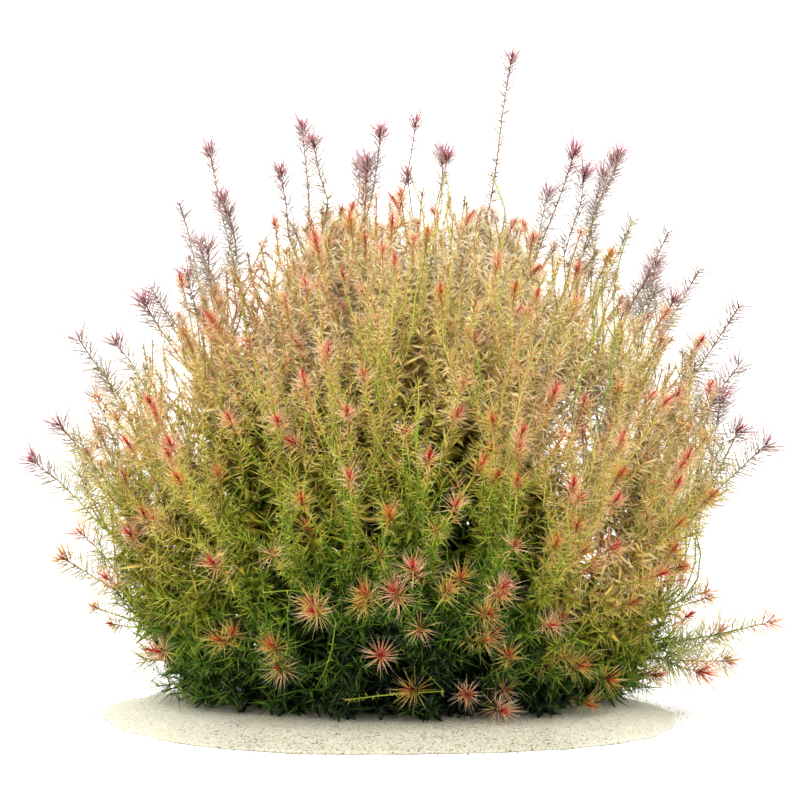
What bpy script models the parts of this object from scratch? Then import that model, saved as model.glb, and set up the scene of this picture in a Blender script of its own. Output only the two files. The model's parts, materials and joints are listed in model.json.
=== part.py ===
"""A clump of Santarem red mayaca, a bushy stem plant with needle leaves, in a loose patch of sand.

Metres, +Z up. The origin is on the sand's flat underside, below the middle of the plant, whose front
faces -Y.
Each rooted stem with its side shoots is one closed solid: whorls of leaves up the stem, then a
flared crown with a pointed bud. The sand is one solid.
"""

import math

import bmesh
import bpy
import numpy as np
from mathutils import Vector
from mathutils.kdtree import KDTree

# Driving dimensions of the clump
CLUMP_WIDTH = 0.300  # between the outermost crowns' middles, without the few that reach past it
CLUMP_DEPTH = 0.184
CLUMP_HEIGHT = 0.235  # to the top of the dense part; single crowns stand higher
LEAF_REACH = 0.0090  # how far the leaves stand out from their stem
CROWN_REACH = 0.0105
STEM_RADIUS = 0.0008
FIRST_LEAVES = 0.010  # up the stem from its foot, where the lowest leaves have spread out
LOW_STEM = 0.110  # a stem shorter than this lies low over the sand and has no leaves at its foot
CROWN_FLARE = 0.011  # from the tip back to the widest ring of the crown
BUD_REACH = 0.005  # of the bud's point past the middle of its crown
ROOT_SHARE = 0.62  # a stem would stand this far out from the middle, as a share of its tip's way out
FOOT_LEAN = 3.0  # sideways lean of a foot, for each metre that it stands from the middle

# Outline of the clump: share of its height, then share of its width and depth there
OUTLINE = ((0.0, 0.62), (0.18, 0.88), (0.42, 1.0), (0.65, 0.9), (0.85, 0.6), (1.0, 0.25))

# The ellipse on the sand that holds the feet of the stems
ROOTS_WIDTH = 0.172
ROOTS_DEPTH = 0.088

# Sand patch: half width, reach in front of the plant's middle and behind it, and heights
SAND_HALF_WIDTH = 0.115
SAND_FRONT = 0.090
SAND_BACK = 0.070
SAND_TOP = 0.005
SAND_RIM = 0.001
SAND_FLAT_SHARE = 0.80  # of the way from the middle to the rim
SAND_SIDES = 26

# Where the front view is taken from, because tips are given as that view shows them
EYE = Vector((0.003, -0.750, 0.125))

MM = 0.001
GAP = 0.0003  # between neighbouring solids
FOOT_LIFT = 0.0006  # of a foot's middle above the sand, so that its edge keeps the gap where it leans
SPINE_POINTS = 41
FIRST_FORK = 4  # a side shoot leaves its stem between these points of its spine
LAST_FORK = 25
SPREAD_STEPS = 40
SPREAD_SHARE = 0.10
NEIGHBOUR_ROOM = 0.008
LEAST_RING_STEP = 0.009
SAND_ROOM = 0.85  # widest reach of a ring, as a share of its height above the sand
RING_SIDES = 6
LEAF_LIFT = 0.6  # rise of a leaf's tip along the stem, as a share of its reach
BETWEEN_LEAVES = 0.34  # reach of the solid between two leaves, as a share of theirs
SAMPLE_STEP = 0.0015
GOLDEN_ANGLE = math.radians(137.508)

# Tips in millimetres, as (across, up) in the clump's middle plane: the stem's own, then a side shoot's
SEEN_STEMS = {
    "tall_stem": ((48, 263), (41, 203)),
    "top_stem_1": ((-36, 234), (-45, 216)),
    "top_stem_2": ((-4, 232), (-10, 216)),
    "top_stem_3": ((10, 236), (4, 205)),
    "top_stem_4": ((22, 222), (14, 192)),
    "top_stem_5": ((-20, 204), (-31, 188)),
    "top_stem_6": ((88, 221), (76, 195)),
    "top_stem_7": ((73, 224), (62, 207)),
    "top_stem_8": ((98, 202), (87, 183)),
    "left_stem_1": ((-73, 225), (-66, 203)),
    "left_stem_2": ((-87, 209), (-78, 190)),
    "left_stem_3": ((-54, 193), (-43, 169)),
    "left_stem_4": ((-98, 173), (-84, 154)),
    "left_stem_5": ((-127, 152), (-97, 125)),
    "left_stem_6": ((-119, 128), (-106, 108)),
    "left_stem_7": ((-134, 116), (-89, 104)),
    "left_stem_8": ((-144, 101), (-99, 80)),
    "left_stem_9": ((-132, 62), (-114, 54)),
    "left_stem_10": ((-120, 42), (-94, 24)),
    "right_stem_1": ((113, 197), (104, 178)),
    "right_stem_2": ((125, 181), (111, 163)),
    "right_stem_3": ((141, 166), (124, 150)),
    "right_stem_4": ((140, 141), (114, 128)),
    "right_stem_5": ((150, 108), (126, 112)),
    "right_stem_6": ((128, 87), (116, 100)),
    "right_stem_7": ((128, 46), (112, 66)),
    "right_stem_8": ((152, 36), (118, 39)),
    "right_stem_9": ((135, 20), (106, 14)),
    "front_stem_1": ((-6, 162), (-12, 137)),
    "front_stem_2": ((-28, 148), (-18, 121)),
    "front_stem_3": ((-59, 152), (-66, 118)),
    "front_stem_4": ((34, 169), (29, 134)),
    "front_stem_5": ((56, 165), (70, 112)),
    "front_stem_6": ((52, 113), (42, 96)),
    "front_stem_7": ((15, 103), (5, 115)),
    "front_stem_8": ((-17, 95), (-37, 86)),
    "front_stem_9": ((-86, 94), (-72, 60)),
    "front_stem_10": ((-50, 65), (-33, 44)),
    "front_stem_11": ((-6, 64), (-14, 44)),
    "front_stem_12": ((18, 75), (28, 54)),
    "front_stem_13": ((91, 96), (74, 86)),
    "front_stem_14": ((50, 68), (44, 47)),
    "front_stem_15": ((78, 66), (98, 44)),
    "front_stem_16": ((-45, 17), (-70, 29)),
    "front_stem_17": ((13, 34), (-4, 22)),
    "front_stem_18": ((46, 8), (72, 22)),
}

# Tips at the back, as (degrees round the clump from +X, share of its height)
BACK_STEMS = (
    ((12, 0.20), (24, 0.36)),
    ((38, 0.16), (50, 0.34)),
    ((66, 0.22), (78, 0.10)),
    ((92, 0.30), (104, 0.16)),
    ((118, 0.20), (130, 0.34)),
    ((146, 0.15), (158, 0.30)),
    ((28, 0.55), (44, 0.66)),
    ((62, 0.50), (72, 0.70)),
    ((98, 0.56), (110, 0.74)),
    ((134, 0.52), (150, 0.64)),
    ((60, 0.88), (84, 0.80)),
    ((120, 0.86), (104, 0.95)),
)

# Tips of third shoots, which close the gaps between the others: millimetres from the origin
THIRD_SHOOTS = {
    "left_stem_2": (-83, 13, 147),
    "left_stem_3": (-24, -29, 189),
    "left_stem_7": (-97, 6, 126),
    "left_stem_9": (-102, 15, 91),
    "front_stem_4": (9, -30, 196),
    "front_stem_5": (40, -37, 182),
    "front_stem_13": (71, -53, 126),
    "back_stem_4": (16, 70, 91),
    "back_stem_5": (-48, 61, 91),
    "back_stem_7": (64, 41, 161),
    "back_stem_8": (17, 68, 119),
    "back_stem_9": (-5, 63, 140),
    "back_stem_10": (-67, 41, 140),
}

# Colours from the photo: base colour and roughness
FOLIAGE_COLOURS = {
    "tall": ((0.46, 0.40, 0.14, 1), 0.6),
    "top": ((0.55, 0.36, 0.20, 1), 0.6),
    "left": ((0.44, 0.34, 0.11, 1), 0.6),
    "right": ((0.46, 0.34, 0.14, 1), 0.6),
    "front": ((0.20, 0.22, 0.05, 1), 0.6),
    "back": ((0.24, 0.26, 0.07, 1), 0.6),
}
SAND_COLOUR = ((0.62, 0.58, 0.44, 1), 0.9)


def outline_share(up):
    """Share of the clump's full width and depth at a height."""
    heights, shares = zip(*OUTLINE)
    return float(np.interp(up / CLUMP_HEIGHT, heights, shares))


def seen_tip(across, up, order):
    """The place of a tip that the front view shows at (across, up): on the front of the clump's
    outline, or near the middle plane where the tip stands out past that outline."""
    share = outline_share(up)
    inside = 1 - (across / (share * CLUMP_WIDTH / 2)) ** 2
    if inside > 0 and up < CLUMP_HEIGHT * 0.86:
        y = -share * CLUMP_DEPTH / 2 * math.sqrt(inside)
    else:
        y = 0.014 * math.sin(2.4 * order)
    tip = EYE + (Vector((across, 0, up)) - EYE) * (y - EYE.y) / -EYE.y
    tip.z = max(tip.z, SAND_TOP + 0.75 * CROWN_REACH)
    return tip


def back_tip(degrees, height_share):
    """The place of a tip on the outline of the clump, at this angle and height."""
    up = height_share * CLUMP_HEIGHT
    angle = math.radians(degrees)
    share = outline_share(up)
    across = share * CLUMP_WIDTH / 2 * math.cos(angle)
    return Vector((across, share * CLUMP_DEPTH / 2 * math.sin(angle), up))


def planned_stems():
    """Name of each stem to the tips of the stem itself and of its side shoots."""
    stems = {}
    for order, (name, tips) in enumerate(SEEN_STEMS.items()):
        stems[name] = [seen_tip(x * MM, z * MM, order + i) for i, (x, z) in enumerate(tips)]
    for order, tips in enumerate(BACK_STEMS):
        stems[f"back_stem_{order + 1}"] = [back_tip(*tip) for tip in tips]
    for name, tip in THIRD_SHOOTS.items():
        stems[name].append(Vector(tip) * MM)
    return stems


def root_places(count):
    """Evenly spread feet on the sand, in a sunflower's order."""
    places = []
    for i in range(count):
        reach = math.sqrt((i + 0.5) / count)
        x = ROOTS_WIDTH / 2 * reach * math.cos(i * GOLDEN_ANGLE)
        y = ROOTS_DEPTH / 2 * reach * math.sin(i * GOLDEN_ANGLE)
        places.append(Vector((x, y, SAND_TOP + FOOT_LIFT)))
    return places


def nearest_roots(stems):
    """Each stem takes the free foot that is nearest below it, the widest-reaching stems first."""
    free = root_places(len(stems))
    lean = {name: tips[0].xy.length for name, tips in stems.items()}
    roots = {}
    for name in sorted(stems, key=lambda n: -lean[n]):
        wish = stems[name][0].xy * ROOT_SHARE
        root = min(free, key=lambda place: (place.xy - wish).length)
        free.remove(root)
        roots[name] = root
    return roots


def crown_direction(tip):
    """Crowns point away from the middle of the clump's foot, and a little more upwards."""
    return Vector((tip.x, tip.y, 1.1 * tip.z + 0.01)).normalized()


def arc_between(start, start_way, end, end_way):
    """Points of a smooth curve that leaves along start_way and arrives along end_way."""
    reach = (end - start).length
    points = []
    for i in range(SPINE_POINTS):
        t = i / (SPINE_POINTS - 1)
        points.append(
            start * (2 * t**3 - 3 * t**2 + 1)
            + end * (3 * t**2 - 2 * t**3)
            + start_way * (reach * (t**3 - 2 * t**2 + t))
            + end_way * (reach * (t**3 - t**2))
        )
    return points


def spines_of(stems):
    """Name of each stem to its own spine and its side shoots'. Each runs a little past the middle
    of its crown, to the end of the bud."""
    roots = nearest_roots(stems)
    spines = {}
    for name, tips in stems.items():
        foot = roots[name]
        rise = Vector((foot.x * FOOT_LEAN, foot.y * FOOT_LEAN, 1)).normalized()
        end_way = crown_direction(tips[0])
        main = arc_between(foot, rise, tips[0] + end_way * BUD_REACH, end_way)
        spines[name] = [main]
        for tip in tips[1:]:
            fork = fork_of(main, tip)
            way = (main[fork + 1] - main[fork - 1]).normalized()
            end_way = crown_direction(tip)
            spines[name].append(arc_between(main[fork], way, tip + end_way * BUD_REACH, end_way))
    return spines


def fork_of(main, tip):
    """Index of the point where a side shoot to this tip leaves its stem."""
    return min(range(FIRST_FORK, LAST_FORK), key=lambda i: abs(main[i].z - 0.5 * tip.z))


def spread(spines):
    """Bends stems away from neighbours they would cross, with their feet and tips kept."""
    forks = {name: [fork_of(pair[0], side[-1]) for side in pair[1:]] for name, pair in spines.items()}
    for _ in range(SPREAD_STEPS):
        points = [(name, line, i) for name, pair in spines.items() for line in pair
                  for i in range(SPINE_POINTS)]
        tree = KDTree(len(points))
        for index, (name, line, i) in enumerate(points):
            tree.insert(line[i], index)
        tree.balance()
        pushes = []
        for name, line, i in points:
            push = Vector((0, 0, 0))
            for place, other, distance in tree.find_range(line[i], NEIGHBOUR_ROOM):
                if points[other][0] != name and distance > 0:
                    push += (line[i] - place) / distance * (NEIGHBOUR_ROOM - distance)
            pushes.append(push * (SPREAD_SHARE * min(1.0, 4 * min(i, SPINE_POINTS - 1 - i) / SPINE_POINTS)))
        for (name, line, i), push in zip(points, pushes):
            line[i] = line[i] + push
        for name, (main, *sides) in spines.items():
            for side, fork in zip(sides, forks[name]):
                side[0] = main[fork].copy()
            for line in (main, *sides):
                for i in range(1, SPINE_POINTS - 1):
                    line[i] = line[i] * 0.6 + (line[i - 1] + line[i + 1]) * 0.2
    return spines


# Share of the length, and share of the leaves' reach there: a stem's tiers, and a side shoot's
STEM_TIERS = ((0.36, 1.0), (0.54, 1.0), (0.69, 1.0), (0.82, 1.0))
SIDE_TIERS = ((0.0, 0.1), (0.45, 0.9), (0.72, 1.0))


def rings_along(spine, is_side):
    """(place, wanted radius) of each ring of a brush of leaves, from its foot to its tip."""
    along = [0.0]
    for a, b in zip(spine, spine[1:]):
        along.append(along[-1] + (b - a).length)
    length = along[-1]
    tiers = SIDE_TIERS if is_side else STEM_TIERS
    wanted = [] if is_side else [(0.0, STEM_RADIUS)]
    if not is_side and length > LOW_STEM:
        wanted.append((FIRST_LEAVES, 0.8 * LEAF_REACH))
    wanted += [(share * length, factor * LEAF_REACH) for share, factor in tiers
               if share * length < length - CROWN_FLARE - LEAST_RING_STEP]
    wanted += [(length - CROWN_FLARE, CROWN_REACH), (length, 0.0)]
    columns = list(zip(*spine))
    return [(Vector([float(np.interp(where, along, column)) for column in columns]), radius)
            for where, radius in wanted]


def brushes_of(spines):
    """Name of each stem to the rings of the stem and of its side shoots, which start on the stem's
    straight run from ring to ring."""
    brushes = {}
    for name, (main, *sides) in spines.items():
        stem = rings_along(main, False)
        core = [place for (a, _), (b, _) in zip(stem, stem[1:]) for place in samples_between(a, b)]
        brushes[name] = [stem]
        for side in sides:
            (fork, radius), *rest = rings_along(side, True)
            start = min(core, key=lambda place: (place - fork).length)
            brushes[name].append([(start, radius), *rest])
    return brushes


def samples_between(a, b):
    count = max(2, math.ceil((b - a).length / SAMPLE_STEP))
    return [a.lerp(b, i / count) for i in range(count + 1)]


def fitted(brushes):
    """The same rings, each no wider than keeps its brush clear of the sand and of every other stem:
    under half the way to the nearest neighbour's middle, all the way to the rings beside it."""
    owners = []
    places = []
    for name, pair in brushes.items():
        for rings in pair:
            for (a, _), (b, _) in zip(rings, rings[1:]):
                for place in samples_between(a, b):
                    owners.append(name)
                    places.append(place)
    trees = {}
    for name in brushes:
        others = [place for owner, place in zip(owners, places) if owner != name]
        trees[name] = KDTree(len(others))
        for index, place in enumerate(others):
            trees[name].insert(place, index)
        trees[name].balance()

    def room_between(name, a, b):
        return min(0.5 * trees[name].find(place)[2] - GAP for place in samples_between(a, b))

    def above_sand(place):
        return max(SAND_ROOM * (place.z - SAND_TOP), STEM_RADIUS)

    made = {}
    for name, pair in brushes.items():
        made[name] = []
        for rings in pair:
            room = [room_between(name, a, b) for (a, _), (b, _) in zip(rings, rings[1:])]
            room = [room[0]] + room + [room[-1]] * 2
            made[name].append([(place, min(radius, above_sand(place), *room[k:k + 3]))
                               for k, (place, radius) in enumerate(rings)])
    return made


def material(name, colour, roughness):
    made = bpy.data.materials.new(name)
    made.use_nodes = True
    shader = made.node_tree.nodes["Principled BSDF"]
    shader.inputs["Base Color"].default_value = colour
    shader.inputs["Roughness"].default_value = roughness
    shader.inputs["Metallic"].default_value = 0.0
    return made


def ways_along(places):
    """The direction of the line through these places, at each of them."""
    steps = [(b - a).normalized() for a, b in zip(places, places[1:])]
    steps = [steps[0]] + steps + [steps[-1]]
    return [(before + after).normalized() for before, after in zip(steps, steps[1:])]


def leafy_shoot(name, rings, collection):
    """A closed mesh object along the rings: three leaves stand out and up from each ring, and the
    next ring's three stand between them. The thin rings at a foot are round, and the tip is a point."""
    built = bmesh.new()
    side = Vector((1, 0, 0))
    below = []
    for k, ((place, radius), way) in enumerate(zip(rings, ways_along([place for place, _ in rings]))):
        side = (side - way * side.dot(way)).normalized()
        across = way.cross(side)
        level = []
        for j in range(RING_SIDES):
            angle = 2 * math.pi * j / RING_SIDES
            outwards = side * math.cos(angle) + across * math.sin(angle)
            is_leaf = (j + k) % 2 == 0 and radius > STEM_RADIUS
            if is_leaf:
                level.append(built.verts.new(place + outwards * radius + way * (LEAF_LIFT * radius)))
            else:
                inner = max(min(radius, STEM_RADIUS), BETWEEN_LEAVES * radius)
                level.append(built.verts.new(place + outwards * inner))
            if radius == 0:
                break
        for j in range(RING_SIDES if below else 0):
            after = (j + 1) % RING_SIDES
            if len(level) == 1:
                built.faces.new((below[j], below[after], level[0]))
            elif (j + k) % 2 == 0:
                built.faces.new((below[j], below[after], level[after]))
                built.faces.new((below[j], level[after], level[j]))
            else:
                built.faces.new((below[j], below[after], level[j]))
                built.faces.new((below[after], level[after], level[j]))
        if not below:
            built.faces.new(list(reversed(level)))
        below = level
    mesh = bpy.data.meshes.new(name)
    built.to_mesh(mesh)
    built.free()
    made = bpy.data.objects.new(name, mesh)
    collection.objects.link(made)
    return made


def add_stem(name, brushes, parts, cutters, finish):
    """One rooted stem with its side shoots joined on."""
    stem = leafy_shoot(name, brushes[0], parts)
    stem.data.materials.append(finish)
    for number, rings in enumerate(brushes[1:]):
        shoot = leafy_shoot(f"{name}_side_{number + 1}", rings, cutters)
        shoot.hide_render = True
        shoot.display_type = "WIRE"
        joined = stem.modifiers.new("side shoot", "BOOLEAN")
        joined.operation = "UNION"
        joined.object = shoot
    return stem


def sand_reach(angle):
    """Distance from the middle of the sand to its uneven rim, at an angle."""
    half_depth = SAND_BACK if math.sin(angle) > 0 else SAND_FRONT
    x = math.cos(angle) / SAND_HALF_WIDTH
    y = math.sin(angle) / half_depth
    ripple = 1 + 0.022 * math.sin(3 * angle - 1.57) + 0.030 * math.sin(4 * angle + 3.74)
    return ripple / math.hypot(x, y)


def add_sand(parts):
    """The patch of sand: flat below, level under the plant, and thin at its rim."""
    profile = (  # share of the reach, height
        (0.0, SAND_TOP),
        (SAND_FLAT_SHARE, SAND_TOP),
        (0.90, 0.65 * SAND_TOP),
        (1.0, SAND_RIM),
        (1.0, 0.0),
        (0.0, 0.0),
    )
    built = bmesh.new()
    path = [built.verts.new((share, 0, height)) for share, height in profile]
    edges = [built.edges.new(pair) for pair in zip(path, path[1:])]
    bmesh.ops.spin(
        built, geom=path + edges, axis=(0, 0, 1), cent=(0, 0, 0), angle=2 * math.pi, steps=SAND_SIDES,
        use_merge=True,
    )
    bmesh.ops.remove_doubles(built, verts=built.verts, dist=1e-5)
    for vertex in built.verts:
        angle = math.atan2(vertex.co.y, vertex.co.x)
        reach = math.hypot(vertex.co.x, vertex.co.y) * sand_reach(angle)
        vertex.co.x = reach * math.cos(angle)
        vertex.co.y = reach * math.sin(angle)
    bmesh.ops.recalc_face_normals(built, faces=built.faces)
    mesh = bpy.data.meshes.new("sand_bed")
    built.to_mesh(mesh)
    built.free()
    sand = bpy.data.objects.new("sand_bed", mesh)
    parts.objects.link(sand)
    mesh.materials.append(material("sand", *SAND_COLOUR))
    return sand


def main():
    for old in list(bpy.data.objects):
        bpy.data.objects.remove(old)
    parts = bpy.data.collections.new("red_mayaca")
    cutters = bpy.data.collections.new("red_mayaca_side_shoots")
    for collection in (parts, cutters):
        bpy.context.scene.collection.children.link(collection)
    add_sand(parts)
    finishes = {place: material(f"{place}_foliage", *look) for place, look in FOLIAGE_COLOURS.items()}
    brushes = fitted(brushes_of(spread(spines_of(planned_stems()))))
    for name, pair in brushes.items():
        add_stem(name, pair, parts, cutters, finishes[name.split("_")[0]])


main()
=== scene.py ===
import json
import math
import random
from collections import Counter

import bmesh
import bpy
import numpy as np
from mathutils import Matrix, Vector, noise
from mathutils.kdtree import KDTree

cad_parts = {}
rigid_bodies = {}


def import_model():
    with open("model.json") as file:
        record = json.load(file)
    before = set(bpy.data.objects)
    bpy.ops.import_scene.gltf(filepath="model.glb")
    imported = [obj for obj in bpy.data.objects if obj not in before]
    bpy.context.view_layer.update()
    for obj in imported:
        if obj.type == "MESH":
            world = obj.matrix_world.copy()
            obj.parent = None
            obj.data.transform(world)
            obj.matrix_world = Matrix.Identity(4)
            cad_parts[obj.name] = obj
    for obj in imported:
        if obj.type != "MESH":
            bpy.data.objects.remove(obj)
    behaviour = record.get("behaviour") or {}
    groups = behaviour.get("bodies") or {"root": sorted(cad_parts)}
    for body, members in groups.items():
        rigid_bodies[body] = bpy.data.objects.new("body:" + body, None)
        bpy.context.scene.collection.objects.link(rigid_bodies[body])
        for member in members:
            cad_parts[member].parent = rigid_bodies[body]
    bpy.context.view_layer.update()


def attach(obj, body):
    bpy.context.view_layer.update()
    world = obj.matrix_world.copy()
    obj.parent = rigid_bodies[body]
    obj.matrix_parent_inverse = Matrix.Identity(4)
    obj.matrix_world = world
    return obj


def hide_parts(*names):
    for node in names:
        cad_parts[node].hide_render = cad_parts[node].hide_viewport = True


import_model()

mm = 0.001

# the clump as it is planned in the frame: its outline, its feet and where each stem's crown stands
clump = {
    "width": 0.300,
    "depth": 0.184,
    "height": 0.235,
    "outline": ((0.0, 0.62), (0.18, 0.88), (0.42, 1.0), (0.65, 0.9), (0.85, 0.6), (1.0, 0.25)),
    "rootsWidth": 0.172,
    "rootsDepth": 0.088,
    "rootShare": 0.62,
    "footLean": 3.0,
    "footLift": 0.0006,
    "crownReach": 0.0105,
    "budReach": 0.005,  # the bud's point past the middle of its crown
    "seenFrom": Vector((0.003, -0.750, 0.125)),  # tips below are (across, up) as seen from here, in mm
    "spinePoints": 41,
    "firstFork": 4,
    "lastFork": 25,
    "spreadSteps": 40,
    "spreadShare": 0.10,
    "neighbourRoom": 0.008,
    "goldenAngle": math.radians(137.508),
    "bodyTop": 0.206,  # past this height the dense body's measures are taken from here
    "aboveBody": 0.212,
}

# where the foliage is dense, in mm: height, reach to the left, reach to the right, half its depth
body = (
    (0, 86, 94, 52), (20, 94, 108, 60), (45, 110, 120, 68), (70, 117, 126, 74), (100, 121, 129, 76),
    (130, 111, 124, 72), (150, 97, 115, 64), (165, 84, 102, 56), (177, 71, 87, 50), (189, 52, 70, 40),
    (200, 34, 44, 28), (213, 4, 18, 10),
)

# crowns that the front view shows, of each stem's main shoot and side shoot: across and up, in mm
seenStems = {
    "tall_stem": (
        ((48, 263), (41, 203)),
    ),
    "top_stem": (
        ((-36, 234), (-45, 216)), ((-4, 232), (-10, 216)), ((10, 236), (4, 205)), ((22, 222), (14, 192)),
        ((-20, 204), (-31, 188)), ((88, 221), (76, 195)), ((73, 224), (62, 207)), ((98, 202), (87, 183)),
    ),
    "left_stem": (
        ((-73, 225), (-66, 203)), ((-87, 209), (-78, 190)), ((-54, 193), (-43, 169)),
        ((-98, 173), (-84, 154)), ((-127, 152), (-97, 125)), ((-119, 128), (-106, 108)),
        ((-134, 116), (-89, 104)), ((-144, 101), (-99, 80)), ((-132, 62), (-114, 54)),
        ((-120, 42), (-94, 24)),
    ),
    "right_stem": (
        ((113, 197), (104, 178)), ((125, 181), (111, 163)), ((141, 166), (124, 150)),
        ((140, 141), (114, 128)), ((150, 108), (126, 112)), ((128, 87), (116, 100)),
        ((128, 46), (112, 66)), ((152, 36), (118, 39)), ((135, 20), (106, 14)),
    ),
    "front_stem": (
        ((-6, 162), (-12, 137)), ((-28, 148), (-18, 121)), ((-59, 152), (-66, 118)),
        ((34, 169), (29, 134)), ((56, 165), (70, 112)), ((52, 113), (42, 96)), ((15, 103), (5, 115)),
        ((-17, 95), (-37, 86)), ((-86, 94), (-72, 60)), ((-50, 65), (-33, 44)), ((-6, 64), (-14, 44)),
        ((18, 75), (28, 54)), ((91, 96), (74, 86)), ((50, 68), (44, 47)), ((78, 66), (98, 44)),
        ((-45, 17), (-70, 29)), ((13, 34), (-4, 22)), ((46, 8), (72, 22)),
    ),
}

# tips at the back: (degrees round the clump from +X, share of its height)
backStems = (
    ((12, 0.20), (24, 0.36)), ((38, 0.16), (50, 0.34)), ((66, 0.22), (78, 0.10)),
    ((92, 0.30), (104, 0.16)), ((118, 0.20), (130, 0.34)), ((146, 0.15), (158, 0.30)),
    ((28, 0.55), (44, 0.66)), ((62, 0.50), (72, 0.70)), ((98, 0.56), (110, 0.74)),
    ((134, 0.52), (150, 0.64)), ((60, 0.88), (84, 0.80)), ((120, 0.86), (104, 0.95)),
)

# tips of third shoots, in mm from the origin
thirdShoots = {
    "left_stem_2": (-83, 13, 147),
    "left_stem_3": (-24, -29, 189),
    "left_stem_7": (-97, 6, 126),
    "left_stem_9": (-102, 15, 91),
    "front_stem_4": (9, -30, 196),
    "front_stem_5": (40, -37, 182),
    "front_stem_13": (71, -53, 126),
    "back_stem_4": (16, 70, 91),
    "back_stem_5": (-48, 61, 91),
    "back_stem_7": (64, 41, 161),
    "back_stem_8": (17, 68, 119),
    "back_stem_9": (-5, 63, 140),
    "back_stem_10": (-67, 41, 140),
}

# crowns of smaller side shoots that the front view shows between the others, in mm
seenTwigs = (
    (-32, 229), (-47, 197), (-10, 220), (20, 224), (6, 214), (0, 197), (-11, 192), (-17, 197), (-31, 191),
    (-4, 188), (1, 182), (9, 192), (42, 182), (77, 216), (84, 215), (91, 224), (106, 181), (-68, 205),
    (-74, 188), (-100, 165), (-85, 174), (-73, 158), (-95, 121), (-89, 108), (-113, 35), (113, 166),
    (127, 131), (110, 125), (139, 114), (92, 110), (118, 103), (114, 92), (115, 76), (116, 58), (108, 55),
    (131, 33), (124, 15), (104, 8), (-35, 173), (19, 169), (49, 170), (-26, 145), (-36, 134), (36, 100),
    (50, 94), (40, 118), (72, 92), (90, 86), (74, 76), (-1, 80), (26, 84), (8, 59), (65, 68), (89, 66),
    (0, 49), (-12, 48), (45, 50), (23, 50), (-32, 40), (39, 39), (64, 34), (-48, 28), (38, 28), (46, 24),
    (76, 18), (6, 8), (30, 6),
)

# long bare stalks that run over the front of the body: their stem, how green they are (0 dark, 1 ochre),
# whether the upper end joins that stem again, and where they are seen, in mm
seenStalks = (
    ("top_stem_3", 0.64, True, ((12, 150), (12, 167), (13, 177), (10, 194), (11, 205))),
    ("top_stem_4", 0.62, True, ((10, 168), (14, 181), (18, 194), (20, 205))),
    ("top_stem_4", 0.66, True, ((23, 166), (24, 181), (24, 194), (23, 205))),
    ("tall_stem", 0.62, True, ((40, 152), (44, 172), (46, 191), (45, 205))),
    ("top_stem_5", 0.62, True, ((-8, 128), (-11, 144), (-12, 152), (-17, 171), (-24, 183), (-31, 191))),
    ("front_stem_4", 0.46, False, ((35, 128), (34, 139), (31, 150), (28, 159))),
    ("top_stem_8", 0.48, True, ((74, 84), (80, 102), (86, 137), (89, 163), (94, 193))),
    ("right_stem_1", 0.50, False, ((74, 128), (78, 144), (84, 162), (84, 172), (87, 186))),
    ("left_stem_1", 0.60, False, ((-62, 130), (-68, 150), (-78, 172), (-84, 190))),
    ("left_stem_3", 0.60, False, ((-50, 112), (-54, 128), (-55, 146), (-60, 166), (-66, 180))),
    ("front_stem_10", 0.50, False, ((-32, 8), (-24, 26), (-21, 40), (-28, 48), (-41, 50), (-52, 48))),
    ("front_stem_17", 0.60, False, ((23, 7), (8, 8), (-1, 8), (-12, 6), (-19, 5))),
)

sand = {
    "halfWidth": 0.115,
    "front": 0.090,
    "back": 0.070,
    "top": 0.005,
    "flatShare": 0.80,  # of the way from the middle to the rim
    "rim": 0.0006,
    "rings": 46,
    "sides": 180,
    "relief": 0.00045,
    "grainSize": (0.00022, 0.00050),
    "grainsPerSquareMetre": 26000,
    "cellsPerMetre": 1500.0,  # how fine the colours vary over the body, and over the grains
    "grainCellsPerMetre": 700.0,
    "looseGrains": 420,
    "looseReach": 1.05,
    "floorGap": 0.00025,  # no grain stands on sand lower than this
    "seed": 11,
}


# where the stems run
def shareAt(outline, up):
    heights, shares = zip(*outline)
    return float(np.interp(up / clump["height"], heights, shares))


def seenAt(across, up, y):  # the place at this depth that the front view shows at (across, up)
    eye = clump["seenFrom"]
    return eye + (Vector((across, 0, up)) - eye) * (y - eye.y) / -eye.y


def seenTip(across, up, order):
    share = shareAt(clump["outline"], up)
    inside = 1 - (across / (share * clump["width"] / 2)) ** 2
    if inside > 0 and up < clump["height"] * 0.86:
        y = -share * clump["depth"] / 2 * math.sqrt(inside)
    else:
        y = 0.014 * math.sin(2.4 * order)
    tip = seenAt(across, up, y)
    tip.z = max(tip.z, sand["top"] + 0.75 * clump["crownReach"])
    return tip


def outlineTip(angle, up):
    reach = shareAt(clump["outline"], up)
    wide, deep = reach * clump["width"] / 2, reach * clump["depth"] / 2
    return Vector((wide * math.cos(angle), deep * math.sin(angle), up))


def plannedStems():
    stems = {}
    for kind, pairs in seenStems.items():
        for number, tips in enumerate(pairs, 1):
            name = f"{kind}_{number}" if len(pairs) > 1 else kind
            stems[name] = [seenTip(x * mm, z * mm, len(stems) + i) for i, (x, z) in enumerate(tips)]
    for order, tips in enumerate(backStems):
        stems[f"back_stem_{order + 1}"] = [
            outlineTip(math.radians(degrees), share * clump["height"]) for degrees, share in tips]
    for name, tip in thirdShoots.items():
        stems[name].append(Vector(tip) * mm)
    return stems


def nearestRoots(stems):
    free = []
    for i in range(len(stems)):
        reach = math.sqrt((i + 0.5) / len(stems))
        x = clump["rootsWidth"] / 2 * reach * math.cos(i * clump["goldenAngle"])
        y = clump["rootsDepth"] / 2 * reach * math.sin(i * clump["goldenAngle"])
        free.append(Vector((x, y, sand["top"] + clump["footLift"])))
    lean = {name: tips[0].xy.length for name, tips in stems.items()}
    roots = {}
    for name in sorted(stems, key=lambda n: -lean[n]):
        wish = stems[name][0].xy * clump["rootShare"]
        root = min(free, key=lambda place: (place.xy - wish).length)
        free.remove(root)
        roots[name] = root
    return roots


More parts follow.
